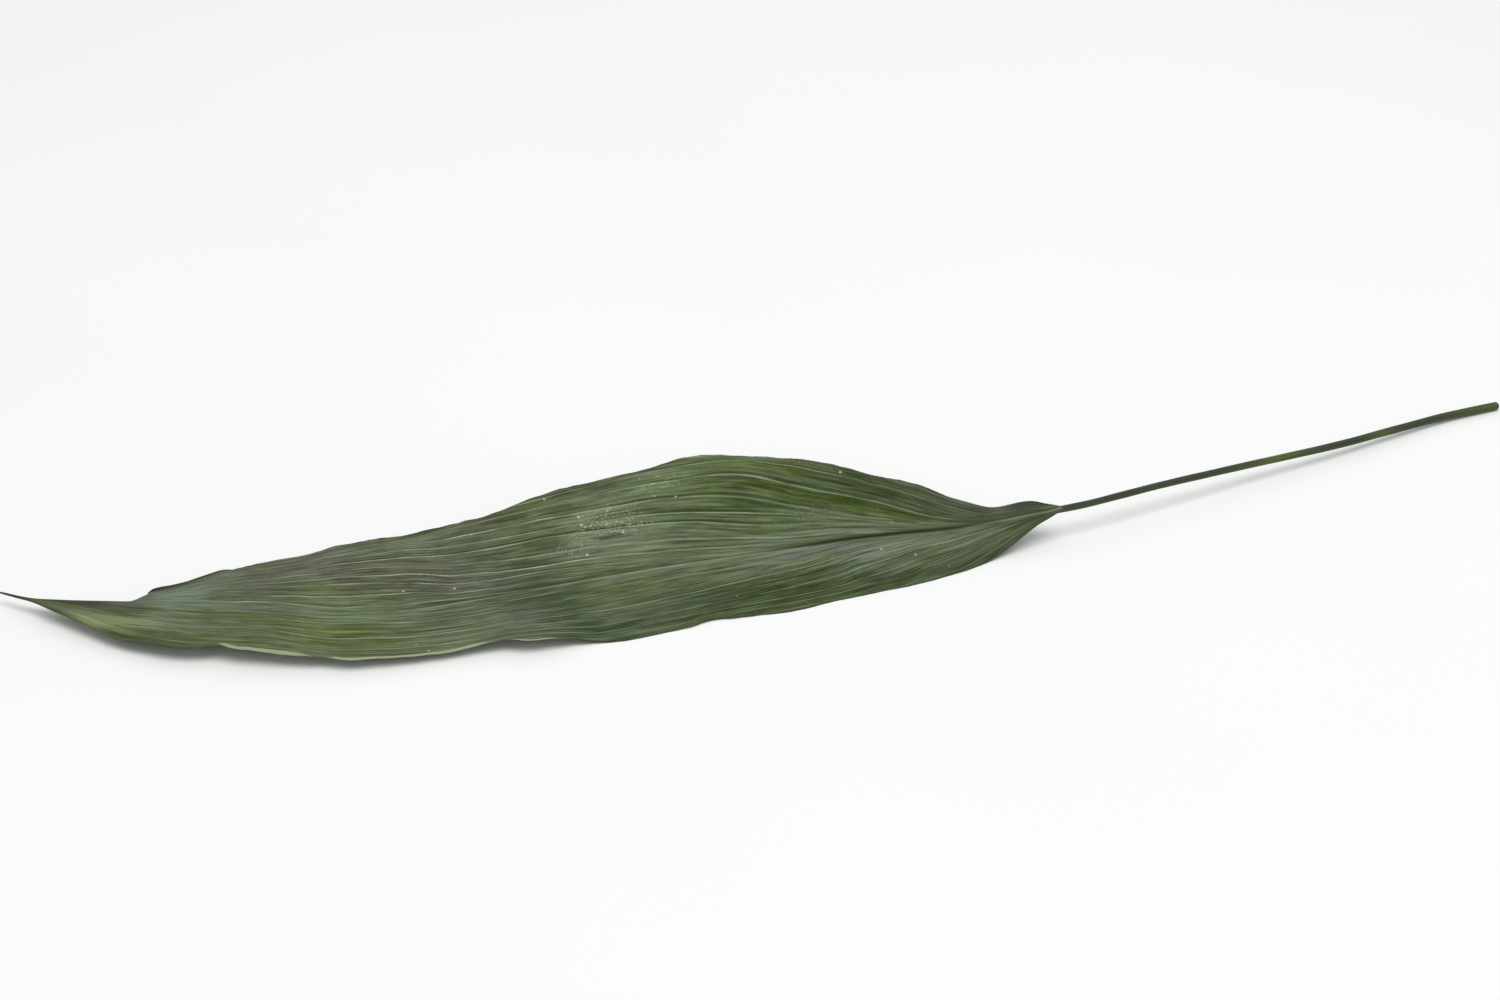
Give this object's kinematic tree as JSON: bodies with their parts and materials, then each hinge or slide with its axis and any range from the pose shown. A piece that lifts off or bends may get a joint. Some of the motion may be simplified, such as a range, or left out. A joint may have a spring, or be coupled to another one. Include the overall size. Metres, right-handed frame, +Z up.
{
  "type": "aspidistra leaf",
  "caption": "Long pointed cut leaf lying on a surface, with a waved, pleated blade, a raised far half and a slender channelled petiole, for flower arranging.",
  "frame": {"origin": "the middle of the leaf's box, on the surface that it lies on", "axes": "+X from the tip towards the petiole's cut end, +Y from the near margin towards the raised far margin, +Z up"},
  "size_m": [0.7414, 0.1098, 0.0285],
  "materials": {
    "leaf": "satin, dark grey-green leaf"
  },
  "bodies": {
    "root": {"aspidistra_leaf": "leaf"}
  },
  "joints": []
}
